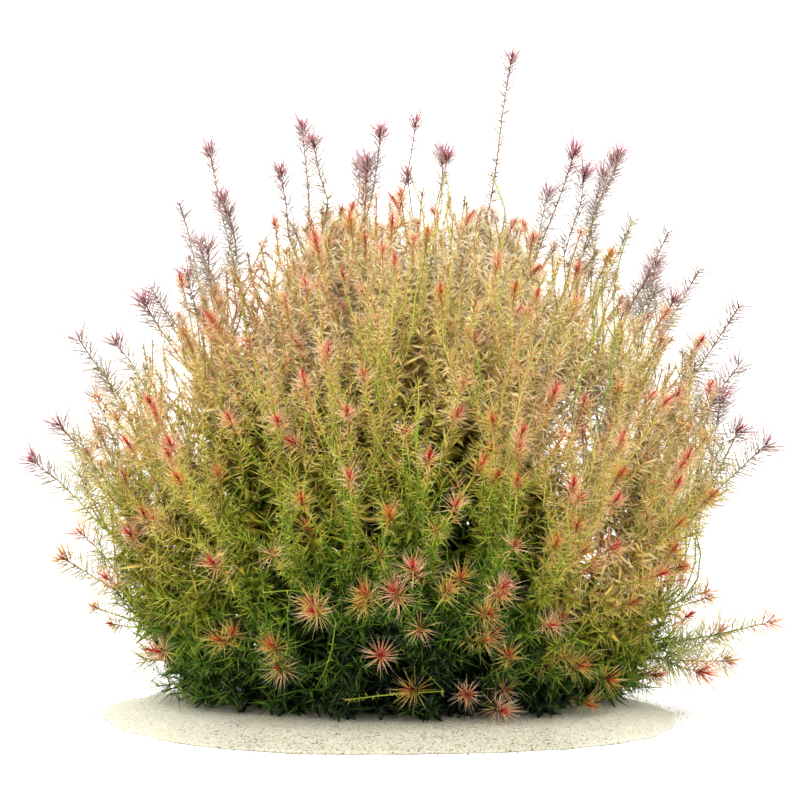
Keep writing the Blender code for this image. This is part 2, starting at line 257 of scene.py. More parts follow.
def crownDirection(tip):
    return Vector((tip.x, tip.y, 1.1 * tip.z + 0.01)).normalized()


def arcBetween(start, startWay, end, endWay):
    reach = (end - start).length
    points = []
    for i in range(clump["spinePoints"]):
        t = i / (clump["spinePoints"] - 1)
        points.append(
            start * (2 * t**3 - 3 * t**2 + 1)
            + end * (3 * t**2 - 2 * t**3)
            + startWay * (reach * (t**3 - 2 * t**2 + t))
            + endWay * (reach * (t**3 - t**2))
        )
    return points


def forkOf(main, tip):
    return min(range(clump["firstFork"], clump["lastFork"]), key=lambda i: abs(main[i].z - 0.5 * tip.z))


def sideSpine(main, fork, tip, sway=Vector()):
    endWay = (crownDirection(tip) + sway).normalized()
    way = (main[fork + 1] - main[fork - 1]).normalized()
    return arcBetween(main[fork], way, tip + endWay * clump["budReach"], endWay)


def spinesOf(stems):
    roots = nearestRoots(stems)
    spines = {}
    for name, tips in stems.items():
        foot = roots[name]
        rise = Vector((foot.x * clump["footLean"], foot.y * clump["footLean"], 1)).normalized()
        endWay = crownDirection(tips[0])
        main = arcBetween(foot, rise, tips[0] + endWay * clump["budReach"], endWay)
        spines[name] = [main] + [sideSpine(main, forkOf(main, tip), tip) for tip in tips[1:]]
    return spines


def treeOf(places):
    tree = KDTree(len(places))
    for index, place in enumerate(places):
        tree.insert(place, index)
    tree.balance()
    return tree


def spread(spines):
    count = clump["spinePoints"]
    room = clump["neighbourRoom"]
    forks = {name: [forkOf(pair[0], side[-1]) for side in pair[1:]] for name, pair in spines.items()}
    for _ in range(clump["spreadSteps"]):
        points = [(name, line, i) for name, pair in spines.items() for line in pair for i in range(count)]
        tree = treeOf([line[i] for _, line, i in points])
        pushes = []
        for name, line, i in points:
            push = Vector((0, 0, 0))
            for place, other, distance in tree.find_range(line[i], room):
                if points[other][0] != name and distance > 0:
                    push += (line[i] - place) / distance * (room - distance)
            pushes.append(push * (clump["spreadShare"] * min(1.0, 4 * min(i, count - 1 - i) / count)))
        for (name, line, i), push in zip(points, pushes):
            line[i] = line[i] + push
        for name, (main, *sides) in spines.items():
            for side, fork in zip(sides, forks[name]):
                side[0] = main[fork].copy()
            for line in (main, *sides):
                for i in range(1, count - 1):
                    line[i] = line[i] * 0.6 + (line[i - 1] + line[i + 1]) * 0.2
    return spines


# twigs past the planned ones: those the front view shows, then others that fill the dense body
twigs = {
    # how many are tried, how far out, how high, the least distance between tips, how far their ends
    # turn and how far their forks stray
    "fill": (
        (360, (0.94, 1.05), (0.007, 0.034), 0.0076, 0.5, 0.004),
        (3600, (0.88, 1.0), (0.020, 0.208), 0.0086, 0.9, 0.012),
        (800, (0.98, 1.06), (0.090, 0.206), 0.0081, 0.6, 0.008),
        (260, (0.10, 0.86), (0.165, 0.207), 0.0092, 0.6, 0.008),
        (400, (0.50, 0.80), (0.012, 0.185), 0.0130, 1.4, 0.020),
        (240, (0.05, 0.50), (0.012, 0.165), 0.0150, 2.0, 0.030),
        (300, (0.30, 0.90), (0.008, 0.030), 0.0110, 1.6, 0.012),
    ),
    "low": 1.1,  # over 1, the lower part of the body gets more of them
    "jitter": 0.003,
    "forkShare": 0.66,  # a twig forks about this far from the foot of the clump
    "crownedFrom": 0.87,  # twigs further out than this may have a crown, as often as the next line says
    "crowned": ((0.14, 0.18), (0.09, 0.26)),
    "most": 8000,
    "seed": 7,
}


def bodyAt(up):  # the middle, half the width and half the depth of the dense body at a height
    heights, left, right, deep = zip(*body)
    left, right, deep = (float(np.interp(up / mm, heights, reach)) * mm for reach in (left, right, deep))
    return (right - left) / 2, (right + left) / 2, deep


def reachInBody(point, lift=0.0):
    middle, wide, deep = bodyAt(min(point.z + lift, clump["bodyTop"]))
    return math.hypot((point.x - middle) / wide, point.y / deep)


def sideReach(point):
    middle, wide, _ = bodyAt(min(point.z, clump["bodyTop"]))
    return abs(point.x - middle) / wide if point.z < clump["aboveBody"] else 2.0


def anyWay(draw, much=1.0):
    return Vector([draw.uniform(-1, 1) * much for _ in range(3)])


def forkPlaces(spines):
    mains = [(name, i, point) for name, lines in spines.items() for i, point in enumerate(lines[0])
             if 1 <= i < clump["spinePoints"] - 6]
    return mains, treeOf([point for _, _, point in mains])


def addTwigs(spines):
    draw = random.Random(twigs["seed"])
    shoots = {name: [{"line": line, "showy": True} for line in lines] for name, lines in spines.items()}
    tips = np.full((twigs["most"], 3), 9.0)  # far away until they are set
    kept = [line[-1] for lines in spines.values() for line in lines]
    tips[:len(kept)] = kept
    mains, tree = forkPlaces(spines)
    count = len(kept)

    def add(tip, showy, sway, stray=0.0):
        tips[count] = tip
        foot = Vector((0.5 * tip.x, 0.45 * tip.y, 0))
        wish = foot.lerp(tip, twigs["forkShare"]) + anyWay(draw, stray)
        name, fork, _ = mains[tree.find(wish)[1]]
        shoots[name].append({"line": sideSpine(spines[name][0], fork, tip, sway), "showy": showy})

    for order, (x, z) in enumerate(seenTwigs):
        add(seenTip(x * mm, z * mm, order), True, Vector())
        count += 1
    for tries, shares, (bottom, top), apart, turn, stray in twigs["fill"]:
        for k in range(tries):
            up = bottom + ((k + 0.5) / tries) ** twigs["low"] * (top - bottom)
            angle = k * clump["goldenAngle"]
            share = draw.uniform(*shares)
            middle, wide, deep = bodyAt(up)
            tip = Vector((middle + share * wide * math.cos(angle), share * deep * math.sin(angle), up))
            tip += anyWay(draw, twigs["jitter"])
            tip.z = max(tip.z, sand["top"] + 0.004)
            if np.linalg.norm(tips - np.array(tip), axis=1).min() > apart:
                sway = anyWay(draw, turn)
                often = float(np.interp(up, *twigs["crowned"]))
                showy = share > twigs["crownedFrom"] and math.sin(angle) < 0.5 and draw.random() < often
                add(tip, showy, sway, stray)
                count += 1
    addStalks(spines, shoots)
    closeGaps(spines, shoots, draw)
    return shoots


# stalks in front of the body
stalks = {"proud": 0.003, "joinAbove": 0.012, "crownedAbove": 0.10, "smoothing": 12,
          "dense": 0.3, "size": 0.42, "thick": 0.00029}


def addStalks(spines, shoots):
    count = clump["spinePoints"]
    for name, green, joined, places in seenStalks:
        main = spines[name][0]
        seen = []
        for across, up in places:
            middle, wide, deep = bodyAt(min(up * mm, clump["bodyTop"]))
            inside = max(0.05, 1 - ((across * mm - middle) / wide) ** 2)
            y = -deep * math.sqrt(inside) - stalks["proud"]
            seen.append(seenAt(across * mm, up * mm, y))
        foot = min(main[2:30], key=lambda point: (point - seen[0]).length + abs(point.z - 0.6 * seen[0].z))
        route = [foot] + seen
        if joined:
            above = seen[-1] + Vector((0, 0, stalks["joinAbove"]))
            route.append(min(main[:-2], key=lambda point: (point - above).length))
        steps = np.cumsum([0.0] + [(b - a).length for a, b in zip(route, route[1:])])
        even = np.linspace(0, steps[-1], count)
        axes = list(zip(*route))
        line = [Vector([float(np.interp(at, steps, axis)) for axis in axes]) for at in even]
        for _ in range(stalks["smoothing"]):
            line = [line[0]] + [(a + 2 * b + c) / 4 for a, b, c in zip(line, line[1:], line[2:])] + [line[-1]]
        crowned = not joined and seen[-1].z > stalks["crownedAbove"]
        shoots[name].append({"line": line, "showy": crowned, "stalk": green, "joined": not crowned})


# places where a straight look through the body would meet nothing
gaps = {"cell": 0.0045, "columns": 28, "wanted": 8.5, "most": 230, "reach": 0.62, "low": 0.010, "top": 0.200}


def closeGaps(spines, shoots, draw):
    eye = clump["seenFrom"]
    cell = gaps["cell"]
    mains, tree = forkPlaces(spines)
    filled = Counter()

    def count(line):
        for point in line:
            flat = eye + (point - eye) * -eye.y / (point.y - eye.y)
            spot = (round(flat.x / cell), round(flat.z / cell))
            filled[spot] += oldShare(point)

    for lines in shoots.values():
        for shoot in lines:
            count(shoot["line"])
    spots = []
    for row in range(round(gaps["low"] / cell), round(gaps["top"] / cell)):
        for column in range(-gaps["columns"], gaps["columns"] + 1):
            if sideReach(Vector((column * cell, 0, row * cell))) < gaps["reach"]:
                spots.append((column, row))
    made = 0
    while made < gaps["most"]:
        spot = min(spots, key=lambda spot: filled[spot])
        if filled[spot] > gaps["wanted"]:
            break
        x, z = spot[0] * cell, spot[1] * cell
        _, wide, deep = bodyAt(z)
        y = draw.uniform(-1, 1) * deep * math.sqrt(max(0.0, gaps["reach"] ** 2 - (x / wide) ** 2))
        tip = seenAt(x, z + 0.5 * cell, y)
        wish = Vector((0.6 * tip.x, 0.6 * tip.y, 0)).lerp(tip, 0.55)
        name, fork, _ = mains[tree.find(wish)[1]]
        line = sideSpine(spines[name][0], fork, tip, anyWay(draw))
        shoots[name].append({"line": line, "showy": False})
        count(line)
        filled[spot] += 0.5  # so that a place no twig reaches is passed by in the end
        made += 1
    thinnest = round(min(filled[spot] for spot in spots), 1)
    print("gaps closed with", made, "twigs; the thinnest place has", thinnest)


def smoothMesh(built, name):
    bmesh.ops.recalc_face_normals(built, faces=built.faces)
    mesh = bpy.data.meshes.new(name)
    built.to_mesh(mesh)
    built.free()
    mesh.shade_smooth()
    return mesh


# needle leaves: closed three-sided spindles that bend along their length
leaves = {
    "length": 0.0098,
    "width": 0.00028,
    "plain": ((0.0, 0.0), (0.26, 1.0), (1.0, 0.0)),  # share of the length, share of the width
    "thorn": ((0.0, 1.0), (1.0, 0.0)),
    "crown": ((0.0010, 0.0), (-0.0010, 0.0005), (-0.0026, -0.0006)),  # bend inwards, bend sideways
    "arched": ((0.0015, 0.0005), (0.0010, -0.0010)),
    "youngWidth": 0.00042,
    "youngLength": 0.0062,
    "oldLength": 0.0120,
    "oldWidth": 0.0009,
    "lowestTip": 0.0015,  # leaves whose tips would stand lower aren't made
    "floorGap": 0.0004,
    "floorSlope": 0.03,
}
leafMap = "OFBake"  # the name of the map that the leaves' and the stems' colours are read from


def needle(name, profile, length, width, bend, sway):
    built = bmesh.new()
    along = built.verts.layers.float.new("along")
    across = built.verts.layers.float.new("across")
    rows = []
    for share, fullness in profile:
        row = []
        for j in range(3 if fullness else 1):
            angle = 2 * math.pi * j / 3
            radius = width / 2 * fullness
            x = sway * share**2 + radius * math.cos(angle)
            vert = built.verts.new((x, bend * share**2 + radius * math.sin(angle), length * share))
            vert[along] = share
            vert[across] = j / 2
            row.append(vert)
        rows.append(row)
    if len(rows[0]) == 3:
        built.faces.new(rows[0])
    for low, high in zip(rows, rows[1:]):
        for j in range(3):
            after = (j + 1) % 3
            if len(low) == 1:
                built.faces.new((low[0], high[after], high[j]))
            elif len(high) == 1:
                built.faces.new((low[j], low[after], high[0]))
            else:
                built.faces.new((low[j], low[after], high[after], high[j]))
    return bpy.data.objects.new(name, smoothMesh(built, name))


def leafCollection():  # crown leaves first, then body leaves, in the order of their names
    made = bpy.data.collections.new("leafShapes")
    for number, (bend, sway) in enumerate(leaves["crown"] + leaves["arched"]):
        shape = needle(f"leaf{number}", leaves["plain"], leaves["length"], leaves["width"], bend, sway)
        made.objects.link(shape)
    made.objects.link(needle("leaf5", leaves["thorn"], leaves["length"], 1.3 * leaves["width"], 0.0, 0.0))
    return made


# colours at the base, middle and tip of a leaf. Inner and outer leaves run with the height in the
# clump; the inner ones are painted darker, most of all low down, as painted shade inside the clump. The
# other families run from the faintest leaves of a crown to its young core
families = {
    "inner": (
        (0.00, (5, 12, 4), (7, 16, 5), (12, 26, 7)),
        (0.15, (12, 28, 5), (22, 46, 8), (36, 64, 11)),
        (0.30, (40, 70, 8), (57, 90, 12), (76, 108, 20)),
        (0.42, (86, 102, 12), (108, 122, 18), (130, 140, 28)),
        (0.54, (116, 100, 20), (138, 120, 28), (158, 140, 40)),
        (0.66, (204, 172, 80), (220, 192, 96), (230, 206, 116)),
        (0.80, (238, 206, 138), (246, 220, 158), (250, 230, 176)),
        (0.92, (246, 222, 176), (250, 232, 192), (252, 240, 208)),
        (1.00, (248, 230, 196), (252, 240, 212), (254, 244, 224)),
    ),
    "outer": (
        (0.00, (20, 46, 8), (50, 76, 20), (104, 116, 60)),
        (0.15, (60, 100, 14), (108, 140, 34), (160, 172, 88)),
        (0.30, (98, 130, 16), (150, 174, 38), (200, 206, 98)),
        (0.42, (130, 138, 20), (182, 186, 54), (222, 216, 116)),
        (0.54, (176, 158, 44), (218, 206, 84), (240, 230, 140)),
        (0.66, (216, 172, 76), (240, 218, 116), (250, 240, 168)),
        (0.80, (232, 186, 112), (248, 228, 158), (254, 246, 204)),
        (0.92, (236, 206, 156), (250, 236, 190), (254, 248, 222)),
        (1.00, (240, 216, 178), (252, 242, 214), (254, 250, 236)),
    ),
    "warm": (
        (0.00, (196, 138, 84), (220, 180, 126), (230, 206, 162)),
        (0.25, (200, 88, 44), (228, 182, 130), (244, 228, 198)),
        (0.50, (194, 44, 34), (218, 144, 108), (240, 216, 188)),
        (0.75, (140, 10, 16), (172, 28, 28), (204, 100, 80)),
        (1.00, (104, 4, 10), (160, 8, 16), (178, 28, 32)),
    ),
    "mauve": (
        (0.00, (140, 136, 100), (166, 158, 136), (188, 178, 174)),
        (0.25, (150, 108, 98), (176, 146, 142), (190, 172, 180)),
        (0.50, (154, 28, 52), (168, 96, 112), (176, 154, 166)),
        (0.75, (138, 8, 34), (156, 26, 56), (166, 112, 130)),
        (1.00, (88, 4, 18), (150, 10, 38), (168, 44, 72)),
    ),
    "gold": (
        (0.00, (120, 108, 26), (172, 166, 70), (214, 210, 136)),
        (0.25, (150, 96, 26), (194, 160, 74), (228, 216, 148)),
        (0.50, (186, 72, 20), (204, 138, 58), (232, 212, 144)),
        (0.75, (160, 26, 18), (184, 78, 40), (208, 146, 84)),
        (1.00, (80, 6, 8), (136, 16, 14), (160, 48, 28)),
    ),
    "plume": (
        (0.00, (142, 152, 64), (180, 182, 104), (208, 204, 150)),
        (0.35, (164, 158, 94), (198, 188, 136), (220, 210, 176)),
        (0.65, (156, 142, 120), (188, 174, 154), (208, 196, 182)),
        (1.00, (144, 128, 132), (172, 158, 166), (194, 182, 194)),
    ),
}
familyNumbers = {name: float(number) for number, name in enumerate(families)}
stemColours = (
    (0.00, (20, 44, 10)), (0.15, (44, 84, 18)), (0.30, (92, 130, 30)), (0.42, (150, 168, 50)),
    (0.54, (178, 170, 72)), (0.66, (160, 138, 72)), (0.78, (150, 98, 50)), (0.88, (146, 40, 38)),
    (1.00, (112, 40, 56)),
)
sandColours = (
    (0.00, (56, 54, 34)), (0.03, (86, 80, 54)), (0.06, (146, 138, 106)), (0.25, (172, 167, 147)),
    (0.55, (186, 183, 170)), (0.80, (197, 195, 184)), (0.93, (178, 169, 138)), (1.00, (156, 144, 104)),
)


def smooth(edge0, edge1, value):
    t = min(1.0, max(0.0, (value - edge0) / (edge1 - edge0)))  # edge0 may be the larger one
    return t * t * (3 - 2 * t)


# patches of colour as the front view shows them: across, up and how wide, in mm, and what they add
patches = {
    "peach": (
        (-37, 143, 26, 0.75), (-85, 113, 22, 0.55), (-62, 156, 20, 0.50), (0, 199, 20, 0.35),
        (21, 169, 14, 0.30), (55, 115, 17, 0.85), (85, 71, 20, 0.75), (105, 105, 18, 0.35),
        (-57, 98, 20, -0.80),
    ),
    "tone": (
        (-53, 99, 20, -0.12), (-81, 45, 34, 0.13), (79, 45, 28, 0.25), (31, 93, 20, -0.06),
        (15, 20, 34, -0.07), (-37, 143, 24, 0.05), (80, 98, 34, 0.18), (58, 122, 26, 0.08),
        (-60, 130, 30, 0.06), (-30, 80, 30, 0.05), (-92, 90, 26, 0.08),
    ),
}


def patchAt(kind, point):
    total = 0.0
    for across, up, wide, much in patches[kind]:
        total += much * math.exp(-((point.x / mm - across) ** 2 + (point.z / mm - up) ** 2) / wide**2)
    return total


def bodyTone(point):  # by height in the clump, from dark green low down, partly painted shade, to pale straw at the top; brighter towards its flanks as painted light where light comes through the thin foliage; and in soft patches
    heights = (0.0, 0.02, 0.05, 0.09, 0.13, 0.17, 0.20, 0.24)
    rise = float(np.interp(point.z, heights, (0.02, 0.10, 0.26, 0.44, 0.62, 0.80, 0.88, 0.92)))
    side = abs(point.x) / (clump["width"] / 2)
    # painted light on the flanks below the top, stronger on the right: light coming through the thin foliage
    # there
    paintedFlankLight = (0.30 if point.x > 0 else 0.24) * side**2 * (1 - smooth(0.10, 0.20, point.z))
    patch = 0.06 * noise.noise(point * 26) + 0.05 * noise.noise(point * 60) + patchAt("tone", point)
    return min(1.0, max(0.0, rise + paintedFlankLight + patch))


def exposure(point):  # the share of leaves wanted at a place: all near the body's outline, few inside
    return smooth(0.35, 0.88, max(reachInBody(point), reachInBody(point, 0.024)))


def rimAt(point):
    return smooth(0.88, 1.04, max(sideReach(point), sideReach(point + Vector((0, 0, 0.010)))))


def oldShare(point):
    edge = 0.66 + 0.11 * smooth(0.12, 0.07, point.z)
    hidden = 1 - smooth(edge, edge + 0.20, max(reachInBody(point), reachInBody(point, 0.012)))
    low, high = smooth(0.06, 0.02, point.z), smooth(0.11, 0.15, point.z)
    return hidden * (1 - smooth(0.190, 0.204, point.z)) * (1.0 + 0.7 * low + 1.4 * high)


def blush(point):  # the chance of a peach leaf, in soft patches of the upper body
    soft = 0.5 * smooth(0.0, 0.35, noise.noise(point * 24 + Vector((3, 1, 7)))) * smooth(0.08, 0.14, point.z)
    return soft + patchAt("peach", point)


# a pair of tuples holds measures and the values there, and ramp() reads between them
shootForm = {
    "bud": 0.006,  # the last stretch of a spine, which the young leaves stand in for
    "budSlack": 0.0005,
    "footDepth": 0.0022,
    "thickFoot": 0.0007,
    "thickTip": 0.00026,
    "thickSide": 0.6,  # a side shoot's foot, against the main shoot's
    "wave": 0.0016,
    "paintedRimLight": 0.17,  # how much paler the leaves at the rim are: painted light where light comes through the thin rim
    "outside": 1.04,  # a shoot whose tip stands this far out, in half widths of the body, is a plume
    "shaft": 0.62,  # leaves down the shoot, against those of its crown
    "fade": (0.009, 0.016),
    "open": ((0.07, 0.16, 0.20), (1.0, 0.4, 0.0)),
    "size": ((0.06, 0.09, 0.17), (1.16, 0.92, 0.74)),
    "ash": ((0.07, 0.15), (0.15, 0.62)),
    "ashFade": 6.0,  # what the shade loses with each metre down the shoot
    "level": ((0.06, 0.14), (0.86, 1.16)),
    "plumeAsh": ((0.03, 0.16), (0.3, 0.9)),
    "plumeSize": ((0.14, 0.20), (1.78, 1.36)),
    "plumeShaft": ((0.14, 0.20), (0.88, 0.70)),
    "plumeDense": ((0.15, 0.19), (1.75, 1.30)),
    "seed": 3,
}


def ramp(key, value):
    return float(np.interp(value, *shootForm[key]))


# a shoot's colour family, how red and how open its crown is, and how long and thick its leaves stand
def shootLook(tip, showy, draw):
    outside = sideReach(tip) > shootForm["outside"]
    if outside and tip.z > 0.07:
        family = "mauve"
    elif tip.z > 0.10:
        family = "warm" if draw.random() < 0.85 else "gold"
    else:
        family = "warm" if draw.random() < 0.42 else "gold"
    look = {
        "family": familyNumbers[family],
        "red": draw.uniform(0.8, 1.0) if showy else draw.uniform(0.0, 0.4) * smooth(0.03, 0.12, tip.z),
        "fade": draw.uniform(*shootForm["fade"]),
        "open": ramp("open", tip.z) * draw.uniform(0.75, 1.0),
        "size": ramp("size", tip.z) * draw.uniform(0.9, 1.08),
        "dense": 1.0,
        "plume": 0.0,
        "ash": ramp("ash", tip.z),
        "shaft": shootForm["shaft"],
    }
    if outside:
        look.update({
            "plume": 1.0,
            "ash": ramp("plumeAsh", tip.z) + draw.uniform(-0.2, 0.1),
            "size": ramp("plumeSize", tip.z) * draw.uniform(0.92, 1.06),
            "shaft": ramp("plumeShaft", tip.z),
            "dense": ramp("plumeDense", tip.z),
            "open": 0.3 * look["open"],
        })
    return look


# the lines of one stem as loose edges, with what the leaves need to know at each point
def stemMesh(name, lines, draw):
    places, edges, rows = [], [], []
    for order, shoot in enumerate(lines):
        line = shoot["line"]
        if order == 0:
            line = [line[0] - Vector((0, 0, shootForm["footDepth"]))] + line
        steps = [(b - a).length for a, b in zip(line, line[1:])]
        bud = 0.0 if shoot.get("joined") else min(shootForm["bud"], 0.4 * sum(steps))
        left = [sum(steps[i:]) - bud for i in range(len(line))]
        line = [point for point, rest in zip(line, left) if rest > -shootForm["budSlack"]]
        left = [max(rest, 0.0) for rest in left if rest > -shootForm["budSlack"]]
        look = shootLook(line[-1], shoot["showy"], draw)
        stalk = shoot.get("stalk")
        if stalk is not None:
            look.update({"size": stalks["size"], "plume": 0.0})
        phase = [draw.uniform(0, 6.28) for _ in range(4)]
        shift = draw.uniform(-0.05, 0.05)
        foot = shootForm["thickFoot"] * (1.0 if order == 0 else shootForm["thickSide"])
        first = len(places)
        for i, point in enumerate(line):
            t = 1 - left[i] / left[0]
            ease = math.sin(math.pi * t) * shootForm["wave"]
            wave = Vector((math.sin(9 * t + phase[0]) + math.sin(19 * t + phase[1]),
                           math.sin(8 * t + phase[2]) + math.sin(17 * t + phase[3]), 0))
            places.append(point + wave * ease)
            beyond = rimAt(point)
            level = ramp("level", point.z) * (1 - 0.32 * smooth(0.01, 0.05, point.y))
            tuft = 0.55 * smooth(0.012, 0.002, left[i]) * smooth(0.13, 0.16, point.z)
            row = dict(look, fromTip=left[i], cover=exposure(point), blush=blush(point), old=oldShare(point))
            # leaves at the rim are painted paler: painted light where light comes through the thin rim
            row["tone"] = bodyTone(point) + shift + shootForm["paintedRimLight"] * beyond * smooth(0.05, 0.09, point.z)
            row["thick"] = shootForm["thickTip"] + (foot - shootForm["thickTip"]) * (1 - t)
            if stalk is not None:
                row.update({"tone": stalk, "old": 0.0, "thick": stalks["thick"]})
                level = stalks["dense"]
            row["plume"] = max(0.7, look["plume"]) * beyond
            row["dense"] = level + tuft + (look["dense"] - 1) * beyond
            row["ash"] -= shootForm["ashFade"] * left[i]
            rows.append(row)
        edges += [(first + i, first + i + 1) for i in range(len(line) - 1)]
    mesh = bpy.data.meshes.new(name)
    mesh.from_pydata(places, edges, [])
    for key in rows[0]:
        mesh.attributes.new(key, "FLOAT", "POINT").data.foreach_set("value", [row[key] for row in rows])
    return mesh


# node trees
class Nodes:  # a node tree, and short calls that add nodes to it
    def __init__(self, tree):
        self.tree = tree

    def add(self, kind, inputs=None, **settings):
        node = self.tree.nodes.new(kind)
        for key, value in settings.items():
            setattr(node, key, value)
        for key, value in (inputs or {}).items():
            if isinstance(value, bpy.types.NodeSocket):
                self.tree.links.new(value, node.inputs[key])
            else:
                node.inputs[key].default_value = value
        return node

    def out(self, kind, inputs=None, **settings):
        return self.add(kind, inputs, **settings).outputs[0]

    def calc(self, operation, a, b=0.0):
        return self.out("ShaderNodeMath", {0: a, 1: b}, operation=operation)

    def plus(self, a, b):
        return self.calc("ADD", a, b)

    def times(self, a, b):
        return self.calc("MULTIPLY", a, b)

    def above(self, a, b):
        return self.calc("GREATER_THAN", a, b)

    def mapped(self, value, fromLow, fromHigh, toLow, toHigh):
        return self.out("ShaderNodeMapRange", {0: value, 1: fromLow, 2: fromHigh, 3: toLow, 4: toHigh})

    def split(self, vector):
        return self.add("ShaderNodeSeparateXYZ", {0: vector}).outputs

    def vector(self, x, y, z=0.0):
        return self.out("ShaderNodeCombineXYZ", {0: x, 1: y, 2: z})

    def read(self, name):
        return self.out("GeometryNodeInputNamedAttribute", {"Name": name}, data_type="FLOAT")

    def store(self, geometry, name, value, kind="FLOAT", domain="POINT"):
        values = {"Geometry": geometry, "Name": name, "Value": value}
        return self.out("GeometryNodeStoreNamedAttribute", values, data_type=kind, domain=domain)

    def drawn(self, low, high, seed, kind="FLOAT"):
        first = {"FLOAT_VECTOR": 0, "FLOAT": 2, "INT": 4}[kind]  # each kind has two sockets for its limits
        values = {first: low, first + 1: high, "Seed": seed}
        return self.add("FunctionNodeRandomValue", values, data_type=kind).outputs[first // 2]

    def chosen(self, switch, false, true, kind="FLOAT"):
        return self.out("GeometryNodeSwitch", {0: switch, 1: false, 2: true}, input_type=kind)

    def shapeOf(self, source):
        return self.add("GeometryNodeObjectInfo", {"Object": source}).outputs["Geometry"]

    def painted(self, geometry, material):
        return self.out("GeometryNodeSetMaterial", {"Geometry": geometry, "Material": material})

    def joined(self, parts):
        whole = self.add("GeometryNodeJoinGeometry")
        for part in parts:
            self.tree.links.new(part, whole.inputs[0])
        return whole.outputs[0]

    def mixed(self, factor, a, b):
        return self.add("ShaderNodeMix", {0: factor, 6: a, 7: b}, data_type="RGBA").outputs[2]

    def toned(self, stops, value):
        node = self.add("ShaderNodeValToRGB", {0: value})
        elements = node.color_ramp.elements
        while len(elements) < len(stops):
            elements.new(0.5)
        for element, (place, colour) in zip(elements, stops):
            element.position = place
            element.color = linear(colour)
        return node.outputs[0]

    def link(self, value, node, key):
        self.tree.links.new(value, node.inputs[key])


def newTree(name, kind, wanted, results):  # wanted: each input's kind of socket and the value it starts with
    tree = bpy.data.node_groups.new(name, kind + "NodeTree")
    for key, (socket, start) in wanted.items():
        made = tree.interface.new_socket(key, in_out="INPUT", socket_type="NodeSocket" + socket)
        if start is not None:
            made.default_value = start
    for key, socket in results.items():
        tree.interface.new_socket(key, in_out="OUTPUT", socket_type="NodeSocket" + socket)
    return Nodes(tree), tree.nodes.new("NodeGroupInput").outputs, tree.nodes.new("NodeGroupOutput")


